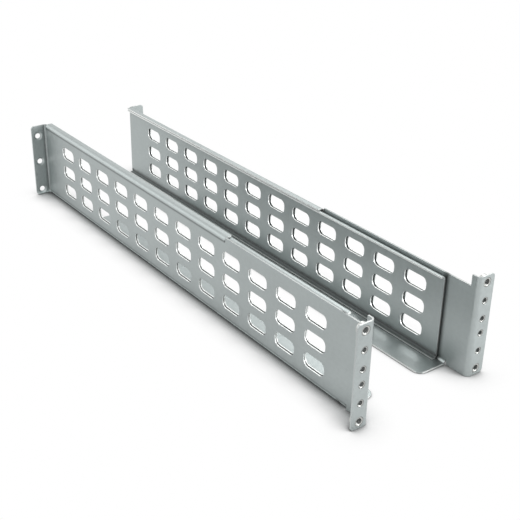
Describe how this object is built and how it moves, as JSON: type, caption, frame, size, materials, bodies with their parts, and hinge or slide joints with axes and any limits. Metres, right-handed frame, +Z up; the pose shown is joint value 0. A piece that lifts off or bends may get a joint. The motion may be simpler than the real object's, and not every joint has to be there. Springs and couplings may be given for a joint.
{
  "type": "sliding server rail pair",
  "caption": "Pair of telescoping sheet-steel rack rails with slotted webs, support ledges and folded end flanges that bolt to the posts of a 19-inch rack.",
  "frame": {"origin": "middle of the pair's footprint, on the surface that it stands on, with both rails closed", "axes": "+X from the left rail to the right one, +Y from the front flanges to the rear flanges, +Z up"},
  "size_m": [0.1372, 0.5182, 0.088],
  "materials": {
    "zinc_plated_sheet": "satin zinc plating",
    "nut_steel": "zinc plated"
  },
  "bodies": {
    "fixed_rails": {"left_front_section": "zinc_plated_sheet", "left_post_nut_1": "nut_steel", "left_post_nut_2": "nut_steel", "left_clinch_nut_1": "nut_steel", "left_clinch_nut_2": "nut_steel", "left_clinch_nut_3": "nut_steel", "left_clinch_nut_4": "nut_steel", "right_front_section": "zinc_plated_sheet", "right_post_nut_1": "nut_steel", "right_post_nut_2": "nut_steel", "right_clinch_nut_1": "nut_steel", "right_clinch_nut_2": "nut_steel", "right_clinch_nut_3": "nut_steel", "right_clinch_nut_4": "nut_steel"},
    "left_slide": {"left_rear_section": "zinc_plated_sheet"},
    "right_slide": {"right_rear_section": "zinc_plated_sheet"}
  },
  "joints": [
    {"name": "left_rail_slide", "type": "slide", "parent": "fixed_rails", "child": "left_slide", "axis": [0, 1, 0], "range_m": [0, 0.3]},
    {"name": "right_rail_slide", "type": "slide", "parent": "fixed_rails", "child": "right_slide", "axis": [0, 1, 0], "range_m": [0, 0.3]}
  ]
}
